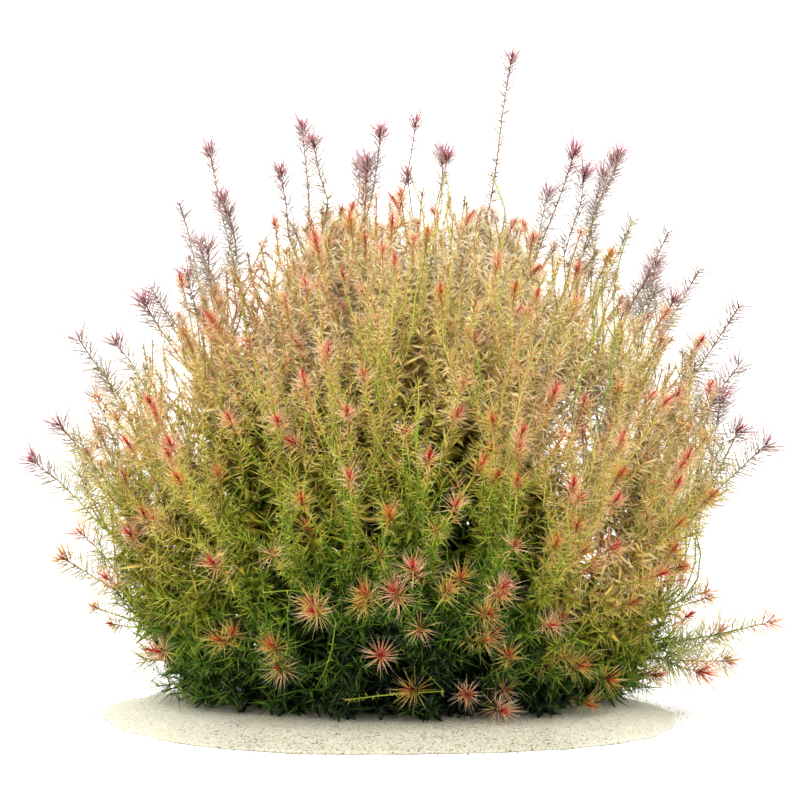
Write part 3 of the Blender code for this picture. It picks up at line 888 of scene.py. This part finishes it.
def leafyShootTree():
    n, given, result = newTree("leafyShoots", "Geometry", {
        "Geometry": ("Geometry", None),
        "Leaf shapes": ("Collection", None),
        "Young leaf": ("Object", None),
        "Old leaf": ("Object", None),
        "Leaf spacing": ("Float", 0.00022),
        "Young spacing": ("Float", 0.00011),
        "Old spacing": ("Float", 0.0013),
        "Young stretch": ("Float", 0.0012),
        "Crown stretch": ("Float", 0.0030),
        "Crown spacing": ("Float", 0.00009),
        "Leafiness": ("Float", 0.44),
        "Turn": ("Float", clump["goldenAngle"]),
        "Seed": ("Int", 1),
        "Foliage": ("Material", None),
        "Skin": ("Material", None),
    }, {"Geometry": "Geometry"})
    curve = n.out("GeometryNodeMeshToCurve", {"Mesh": given["Geometry"]})
    fromTip, cover, plume, red, spreading, level = (
        n.read(key) for key in ("fromTip", "cover", "plume", "red", "open", "tone"))
    seeds = iter(range(1, 99))

    def noisy(low, high):
        return n.drawn(low, high, n.plus(given["Seed"], next(seeds)))

    # leaves along the curve, each with its own colour family and shade
    def placed(spacing, selection, shapes, pick, tilt, size, wide, roll, family, shade, lift=0.0, flat=False):
        dots = n.add("GeometryNodeCurveToPoints", {"Curve": curve, "Length": spacing}, mode="LENGTH")
        turn = n.plus(n.times(n.out("GeometryNodeInputIndex"), given["Turn"]), noisy(-0.35, 0.35))
        way = n.out("FunctionNodeAlignRotationToVector", {"Vector": dots.outputs["Tangent"]}, axis="Z")
        for angle, slot in ((turn, "Z"), (tilt, "X"), (roll, "Z")):
            part = n.out("FunctionNodeEulerToRotation", {0: n.out("ShaderNodeCombineXYZ", {slot: angle})})
            way = n.out("FunctionNodeRotateRotation", {0: way, 1: part}, rotation_space="LOCAL")
        upward = n.split(n.out("FunctionNodeRotateVector", {0: (0.0, 0.0, 1.0), 1: way}))[2]
        height = n.split(n.out("GeometryNodeInputPosition"))[2]
        tipHeight = n.plus(height, n.times(n.times(size, upward), leaves["oldLength"]))
        selection = n.times(selection, n.above(tipHeight, leaves["lowestTip"]))
        points = dots.outputs["Points"]
        # a leaf that points up gets a higher shade, redder and darker, and one that points down a paler one:
        # painted shade above and painted light below
        for key, value in (("band", family), ("shade", n.plus(shade, n.times(upward, lift)))):
            points = n.store(points, key, value)
        values = {"Points": points, "Selection": selection, "Instance": shapes, "Rotation": way,
                  "Scale": n.vector(wide, 1.0 if flat else wide, size)}
        if pick is not None:
            values.update({"Pick Instance": True, "Instance Index": pick})
        return n.out("GeometryNodeInstanceOnPoints", values)

    # leaves along the shoot, finer and more tangled the further they stand from its tip
    showy = n.above(red, 0.5)
    inTheOpen = n.mapped(cover, 0.3, 1.0, 0.0, 1.0)
    chance = n.times(n.times(inTheOpen, given["Leafiness"]), n.read("dense"))
    kept = n.above(chance, noisy(0.0, 1.0))
    tilt = n.plus(n.mapped(fromTip, 0.0, 0.005, 0.60, 1.00), n.mapped(fromTip, 0.005, 0.03, 0.0, 0.22))
    tilt = n.plus(tilt, n.times(spreading, n.mapped(fromTip, 0.0, 0.003, 0.15, 0.40)))
    calm = n.mapped(plume, 0.0, 1.0, 1.0, 0.22)
    wild = n.times(n.mapped(fromTip, 0.003, 0.02, 0.12, 0.75), calm)
    tilt = n.plus(tilt, n.times(wild, noisy(-1.0, 1.0)))
    size = n.times(n.read("size"), n.mapped(fromTip, 0.001, 0.007, 0.86, n.read("shaft")))
    size = n.times(size, n.mapped(n.times(fromTip, calm), 0.007, 0.018, 1.0, 0.80))
    size = n.times(size, noisy(0.76, 1.10))
    broad = n.mapped(plume, 0.0, 1.0, 0.92, 1.5)
    roll = n.times(n.mapped(fromTip, 0.006, 0.02, 0.3, 3.1), n.times(calm, noisy(-1.0, 1.0)))
    bent = n.above(n.mapped(plume, 0.0, 1.0, 0.18, 0.65), noisy(0.0, 1.0))
    pick = n.chosen(bent, 5, n.drawn(3, 4, 60, "INT"), "INT")
    fading = n.mapped(n.calc("DIVIDE", fromTip, n.read("fade")), 0.35, 1.0, 1.0, 0.0)
    coloured = n.above(n.times(fading, n.mapped(red, 0.0, 0.6, 0.0, 1.0)), noisy(0.02, 1.0))
    redness = n.plus(n.mapped(fromTip, 0.0, 0.003, 0.66, 0.28), n.mapped(fromTip, 0.003, 0.012, 0.0, -0.22))
    redness = n.plus(n.times(redness, red), noisy(-0.07, 0.07))
    peach = n.above(n.read("blush"), noisy(0.0, 1.0))
    # leaves in the open mostly take the outer colours, those further in the darker inner ones: painted shade
    # inside the clump
    outer = n.above(n.times(inTheOpen, n.mapped(level, 0.0, 0.6, 0.45, 0.75)), noisy(0.0, 1.0))
    ashen = n.above(plume, noisy(0.0, 1.0))
    family = n.chosen(ashen, n.chosen(peach, outer, familyNumbers["warm"]), familyNumbers["plume"])
    family = n.chosen(coloured, family, n.read("family"))
    tone = n.plus(level, noisy(-0.08, 0.08))
    ash = n.plus(n.read("ash"), noisy(-0.15, 0.15))
    shade = n.chosen(coloured, n.chosen(ashen, n.chosen(peach, tone, noisy(0.0, 0.34)), ash), redness)
    shapes = n.out("GeometryNodeCollectionInfo", {
        "Collection": given["Leaf shapes"], "Separate Children": True, "Reset Children": True})
    shootLeaves = placed(given["Leaf spacing"], kept, shapes, pick, tilt, size, broad, roll, family, shade)

    # the whorl of long leaves that fans out at the tip
    stretch = given["Crown stretch"]
    whorl = n.times(n.calc("LESS_THAN", fromTip, stretch), showy)
    tilt = n.plus(n.mapped(fromTip, 0.0, stretch, 0.30, 0.98), noisy(-0.14, 0.14))
    tilt = n.plus(tilt, n.times(spreading, n.mapped(fromTip, 0.0, stretch, 0.10, 0.58)))
    size = n.times(n.read("size"), noisy(0.72, 1.0))
    broad = n.mapped(plume, 0.0, 1.0, 0.80, 1.25)
    dull = n.plus(n.times(spreading, 0.14), n.times(plume, 0.13))
    # in open crowns the leaves that point up are painted darker and those that point down paler: painted
    # shade and painted light
    crownLeaves = placed(given["Crown spacing"], whorl, shapes, n.drawn(0, 2, 61, "INT"), tilt, size, broad,
                         noisy(-0.3, 0.3), n.read("family"), n.calc("SUBTRACT", redness, dull),
                         n.times(spreading, 0.16))

    # the tight core of young leaves at the tip
    stretch = given["Young stretch"]
    young = n.times(n.calc("LESS_THAN", fromTip, stretch), showy)
    tilt = n.plus(n.mapped(fromTip, 0.0, stretch, 0.03, 0.36), noisy(-0.05, 0.05))
    shade = n.plus(n.mapped(red, 0.1, 0.9, 0.45, 0.96), noisy(-0.10, 0.04))
    youngLeaves = placed(given["Young spacing"], young, n.shapeOf(given["Young leaf"]), None, tilt,
                         noisy(0.62, 1.0), 1.0, noisy(-0.4, 0.4), n.read("family"), shade)

    # broad old leaves, which close the inside of the clump
    old = n.above(n.read("old"), noisy(0.0, 2.1))
    spare = n.times(n.mapped(level, 0.5, 0.80, 1.0, 0.28), n.mapped(cover, 0.0, 0.5, 1.8, 1.0))
    size = n.times(noisy(0.6, 1.1), n.mapped(level, 0.5, 0.85, 1.0, 0.62))
    # old leaves high in the clump take a paler shade: painted light standing in for the light that comes
    # through the upper foliage
    shade = n.plus(tone, n.mapped(tone, 0.55, 0.85, 0.0, 0.10))
    oldLeaves = placed(given["Old spacing"], old, n.shapeOf(given["Old leaf"]), None, noisy(0.7, 1.9), size,
                       n.times(noisy(3.5, 6.0), spare), noisy(-3.1, 3.1), familyNumbers["inner"], shade,
                       flat=True)

    # made real, with the map that their colours are read from
    leafMesh = n.out("GeometryNodeRealizeInstances", {
        0: n.joined((shootLeaves, crownLeaves, youngLeaves, oldLeaves))})
    u = n.plus(n.mapped(n.read("shade"), 0.0, 1.0, 0.02, 0.98), n.times(n.read("across"), 0.008))
    v = n.plus(n.read("band"), n.mapped(n.read("along"), 0.0, 1.0, 0.06, 0.94))
    spot = n.vector(u, n.calc("DIVIDE", v, len(families)))
    leafMesh = n.painted(n.store(leafMesh, leafMap, spot, "FLOAT2", "CORNER"), given["Foliage"])

    # the shoots' own skin
    ring = n.out("GeometryNodeCurvePrimitiveCircle", {"Resolution": 3, "Radius": 1.0})
    ring = n.store(ring, "across", n.out("GeometryNodeSplineParameter"))
    sparse = n.out("GeometryNodeResampleCurve", {"Curve": curve, "Length": 0.011}, mode="LENGTH")
    tube = n.out("GeometryNodeCurveToMesh", {
        "Curve": sparse, "Profile Curve": ring, "Scale": n.read("thick"), "Fill Caps": True})
    flush = n.times(n.mapped(n.calc("DIVIDE", fromTip, n.read("fade")), 0.1, 0.9, 1.0, 0.0), red)
    ripe = n.mapped(n.read("family"), 2.0, 3.0, 0.84, 0.97)
    u = n.out("ShaderNodeMix", {0: flush, 2: n.times(level, 0.7), 3: ripe}, data_type="FLOAT")
    spot = n.vector(u, n.read("across"))
    tube = n.painted(n.store(tube, leafMap, spot, "FLOAT2", "CORNER"), given["Skin"])

    # tips that would go below the floor lie along it
    place = n.split(n.out("GeometryNodeInputPosition"))
    lowest = n.plus(n.times(place[2], leaves["floorSlope"]), leaves["floorGap"])
    place = n.vector(place[0], place[1], n.calc("MAXIMUM", place[2], lowest))
    whole = n.joined((leafMesh, tube))
    n.link(n.out("GeometryNodeSetPosition", {"Geometry": whole, "Position": place}), result, 0)
    return n.tree


def grown(name, mesh, tree, values):  # the mesh that a node tree makes from this one
    source = bpy.data.objects.new(name, mesh)
    bpy.context.scene.collection.objects.link(source)
    growth = source.modifiers.new("growth", "NODES")
    growth.node_group = tree
    for item in tree.interface.items_tree:
        if item.in_out == "INPUT" and item.name in values:
            growth[item.identifier] = values[item.name]
    graph = bpy.context.evaluated_depsgraph_get()
    made = bpy.data.meshes.new_from_object(source.evaluated_get(graph), depsgraph=graph)
    source.modifiers.remove(growth)
    source.data = made
    bpy.data.meshes.remove(mesh)
    return source


# materials
def linear(rgb):
    return [((c / 255 + 0.055) / 1.055) ** 2.4 if c > 10 else c / 255 / 12.92 for c in rgb] + [1.0]


def newMaterial(name, roughness, specular=0.5):
    material = bpy.data.materials.new(name)
    material.use_nodes = True
    shader = material.node_tree.nodes["Principled BSDF"]
    shader.inputs["Roughness"].default_value = roughness
    shader.inputs["Specular IOR Level"].default_value = specular
    return material, Nodes(material.node_tree), shader


# across the leaves' map runs the shade; up it run the colour families and, in each, the way along the leaf
def foliageMaterial():
    material, n, shader = newMaterial("foliage", 0.5, 0.2)
    spot = n.split(n.out("ShaderNodeUVMap", uv_map=leafMap))
    shade = n.mapped(spot[0], 0.02, 0.98, 0.0, 1.0)
    row = n.times(spot[1], len(families))
    along = n.mapped(n.calc("FRACT", row), 0.06, 0.94, 0.0, 1.0)
    lower, upper = n.mapped(along, 0.02, 0.45, 0.0, 1.0), n.mapped(along, 0.45, 0.95, 0.0, 1.0)
    colour = None
    for number, stops in enumerate(families.values()):
        base, middle, tip = (n.toned([(stop[0], stop[k]) for stop in stops], shade) for k in (1, 2, 3))
        here = n.mixed(upper, n.mixed(lower, base, middle), tip)
        colour = n.mixed(n.above(row, float(number)), colour, here) if number else here
    n.link(colour, shader, "Base Color")
    n.link(n.mapped(along, 0.0, 1.0, 0.45, 0.65), shader, "Roughness")
    return material


def skinMaterial():
    material, n, shader = newMaterial("stemSkin", 0.45, 0.2)
    spot = n.split(n.out("ShaderNodeUVMap", uv_map=leafMap))
    # darker stripes round the stem: painted shade in the grooves between its ridges
    paintedGrooveShade = n.mapped(n.calc("SINE", n.times(spot[1], 18.85)), -1.0, 1.0, 0.0, 0.3)
    n.link(n.mixed(paintedGrooveShade, n.toned(stemColours, spot[0]), linear((40, 52, 16))), shader, "Base Color")
    return material


def sandMaterial(name, scale):
    material, n, shader = newMaterial(name, 0.85)
    place = n.add("ShaderNodeTexCoord").outputs["Object"]
    cells = n.add("ShaderNodeTexVoronoi", {"Vector": place, "Scale": scale})
    colour = n.toned(sandColours, n.out("ShaderNodeSeparateColor", {0: cells.outputs["Color"]}))
    cloud = n.out("ShaderNodeTexNoise", {"Vector": place, "Scale": 60.0, "Detail": 4.0})
    colour = n.mixed(n.mapped(cloud, 0.35, 0.75, 0.0, 0.25), colour, linear((222, 214, 176)))
    side = n.calc("ABSOLUTE", n.split(place)[0])
    colour = n.mixed(n.mapped(side, 0.055, 0.100, 0.0, 0.36), colour, linear((244, 242, 222)))
    n.link(colour, shader, "Base Color")
    bump = n.out("ShaderNodeBump", {"Strength": 0.6, "Distance": 0.0004, "Height": cells.outputs["Distance"]})
    n.link(bump, shader, "Normal")
    return material


# sand
def sandReach(angle):
    halfDepth = sand["back"] if math.sin(angle) > 0 else sand["front"]
    ripple = 1 + 0.022 * math.sin(3 * angle - 1.57) + 0.030 * math.sin(4 * angle + 3.74)
    return ripple / math.hypot(math.cos(angle) / sand["halfWidth"], math.sin(angle) / halfDepth)


def sandHeight(share, x, y):
    shares = (0.0, sand["flatShare"], 0.90, 1.0)
    heights = (sand["top"], sand["top"], 0.62 * sand["top"], sand["rim"])
    level = float(np.interp(share, shares, heights))
    rough = noise.noise(Vector((x, y, 0)) * 420) + 0.6 * noise.noise(Vector((x, y, 4)) * 1100)
    dune = 0.9 * noise.noise(Vector((x, y, 9)) * 45)
    return max(0.0002, level + sand["relief"] * (0.55 * rough + dune) * min(1.0, 6 * level / sand["top"]))


def sandBody():
    built = bmesh.new()
    rows = []
    for i in range(1, sand["rings"] + 1):
        share = (i / sand["rings"]) ** 0.75
        row = []
        for j in range(sand["sides"]):
            angle = 2 * math.pi * j / sand["sides"]
            edge = 1 + 0.02 * noise.noise(Vector((math.cos(angle), math.sin(angle), 0)) * 9) * share**8
            reach = sandReach(angle) * share * edge
            x, y = reach * math.cos(angle), reach * math.sin(angle)
            row.append(built.verts.new((x, y, sandHeight(share, x, y))))
        rows.append(row)
    rows.append([built.verts.new((v.co.x, v.co.y, 0)) for v in rows[-1]])
    for low, high in zip(rows, rows[1:]):
        for j in range(sand["sides"]):
            after = (j + 1) % sand["sides"]
            built.faces.new((low[j], high[j], high[after], low[after]))
    centre = built.verts.new((0, 0, sand["top"]))
    for j in range(sand["sides"]):
        built.faces.new((centre, rows[0][j], rows[0][(j + 1) % sand["sides"]]))
    built.faces.new(list(reversed(rows[-1])))
    return smoothMesh(built, "sandBody")


def grain():
    built = bmesh.new()
    bmesh.ops.create_icosphere(built, subdivisions=1, radius=1.0)
    for vert in built.verts:
        vert.co *= 1 + 0.25 * noise.noise(vert.co * 3)
        vert.co.z *= 0.75
    mesh = bpy.data.meshes.new("grain")
    built.to_mesh(mesh)
    built.free()
    return bpy.data.objects.new("grain", mesh)


def grainTree():
    n, given, result = newTree("sandGrains", "Geometry", {
        "Geometry": ("Geometry", None), "Grain": ("Object", None), "Density": ("Float", None),
        "Smallest": ("Float", None), "Largest": ("Float", None), "Seed": ("Int", None),
        "Sand": ("Material", None), "Grains": ("Material", None),
    }, {"Geometry": "Geometry"})
    height = n.split(n.out("GeometryNodeInputPosition"))[2]
    dots = n.out("GeometryNodeDistributePointsOnFaces", {
        "Mesh": given["Geometry"], "Selection": n.above(height, sand["floorGap"]),
        "Density": given["Density"], "Seed": given["Seed"]})
    spin = n.drawn((-0.5, -0.5, 0.0), (0.5, 0.5, 6.28), 5, "FLOAT_VECTOR")
    grains = n.out("GeometryNodeInstanceOnPoints", {
        "Points": dots, "Instance": n.shapeOf(given["Grain"]), "Rotation": spin,
        "Scale": n.drawn(given["Smallest"], given["Largest"], 6)})
    grains = n.painted(n.out("GeometryNodeRealizeInstances", {0: grains}), given["Grains"])
    n.link(n.joined((grains, n.painted(given["Geometry"], given["Sand"]))), result, 0)
    return n.tree


def looseGrains(mesh, shape):  # single grains past the rim, lying on the floor, joined into the sand's mesh
    draw = random.Random(sand["seed"])
    built = bmesh.new()
    built.from_mesh(mesh)
    for _ in range(sand["looseGrains"]):
        angle = draw.uniform(0, 2 * math.pi)
        reach = sandReach(angle) * (1 + (sand["looseReach"] - 1) * draw.random() ** 1.6)
        size = draw.uniform(*sand["grainSize"])
        start = len(built.verts)
        built.from_mesh(shape)
        built.verts.ensure_lookup_table()
        for vert in built.verts[start:]:
            vert.co = vert.co * size + Vector((reach * math.cos(angle), reach * math.sin(angle), 0.72 * size))
    built.to_mesh(mesh)
    built.free()


# building
plan = addTwigs(spread(spinesOf(plannedStems())))
print("stems planned:", len(plan), "with", sum(len(lines) for lines in plan.values()), "shoots")

foliage, skin = foliageMaterial(), skinMaterial()
leafShapes = leafCollection()
youngLeaf = needle("youngLeaf", leaves["plain"], leaves["youngLength"], leaves["youngWidth"], 0.0006, 0.0)
oldLeaf = needle("oldLeaf", leaves["thorn"], leaves["oldLength"], leaves["oldWidth"], 0.0, 0.0)
leafyShoots = leafyShootTree()
draw = random.Random(shootForm["seed"])
counts = {}
for order, (name, lines) in enumerate(plan.items()):
    values = {"Leaf shapes": leafShapes, "Young leaf": youngLeaf, "Old leaf": oldLeaf, "Foliage": foliage,
              "Skin": skin, "Seed": 100 * order}
    piece = grown(name + "_foliage", stemMesh(name, lines, draw), leafyShoots, values)
    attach(piece, "root")
    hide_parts(name)
    name.split("_")[0] + "_foliage"
    piece.data.calc_loop_triangles()
    counts[name] = len(piece.data.loop_triangles)
print("foliage made:", sum(counts.values()), "triangles, at most", max(counts.values()), "in one piece")

grainObject = grain()
values = {
    "Grain": grainObject,
    "Density": sand["grainsPerSquareMetre"],
    "Smallest": sand["grainSize"][0],
    "Largest": sand["grainSize"][1],
    "Seed": sand["seed"],
    "Sand": sandMaterial("sandBed", sand["cellsPerMetre"]),
    "Grains": sandMaterial("sandGrains", sand["grainCellsPerMetre"]),
}
sandPiece = grown("sand_patch", sandBody(), grainTree(), values)
looseGrains(sandPiece.data, grainObject.data)
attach(sandPiece, "root")
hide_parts("sand_bed")
sandPiece.data.calc_loop_triangles()
print("sand made:", len(sandPiece.data.loop_triangles), "triangles")

for helper in (*leafShapes.objects, youngLeaf, oldLeaf, grainObject):
    bpy.data.objects.remove(helper)

# floor, light and camera
studio = {
    "floorSize": 4.0,
    "floorHeight": -0.0002,
    "floorColour": (252, 252, 252),
    "worldStrength": 1.92,
    "keyPower": 10.0,
    "keySize": 0.9,
    "keyPlace": (-0.30, -0.70, 1.30),
    "keyAim": (0, 0, 0.1),
    "lens": 84.4,
}


def addStudio():
    bpy.ops.mesh.primitive_plane_add(size=studio["floorSize"], location=(0, 0, studio["floorHeight"]))
    floor = bpy.context.object
    floor.name = "floor"
    material, _, shader = newMaterial("floor", 0.9)
    shader.inputs["Base Color"].default_value = linear(studio["floorColour"])
    floor.data.materials.append(material)
    world = bpy.data.worlds.new("studio")
    world.use_nodes = True
    world.node_tree.nodes["Background"].inputs["Strength"].default_value = studio["worldStrength"]
    world.node_tree.nodes["Background"].inputs["Color"].default_value = (1, 1, 1, 1)
    bpy.context.scene.world = world
    light = bpy.data.lights.new("key", "AREA")
    light.energy = studio["keyPower"]
    light.size = studio["keySize"]
    key = bpy.data.objects.new("key", light)
    key.location = studio["keyPlace"]
    key.rotation_euler = (Vector(studio["keyAim"]) - key.location).to_track_quat("-Z", "Y").to_euler()
    bpy.context.scene.collection.objects.link(key)
    data = bpy.data.cameras.new("camera")
    data.lens = studio["lens"]
    camera = bpy.data.objects.new("camera", data)
    camera.location = clump["seenFrom"]
    camera.rotation_euler = (math.radians(90), 0, 0)
    bpy.context.scene.collection.objects.link(camera)
    bpy.context.scene.camera = camera
    bpy.context.scene.view_settings.view_transform = "Standard"
    print("studio ready")


addStudio()
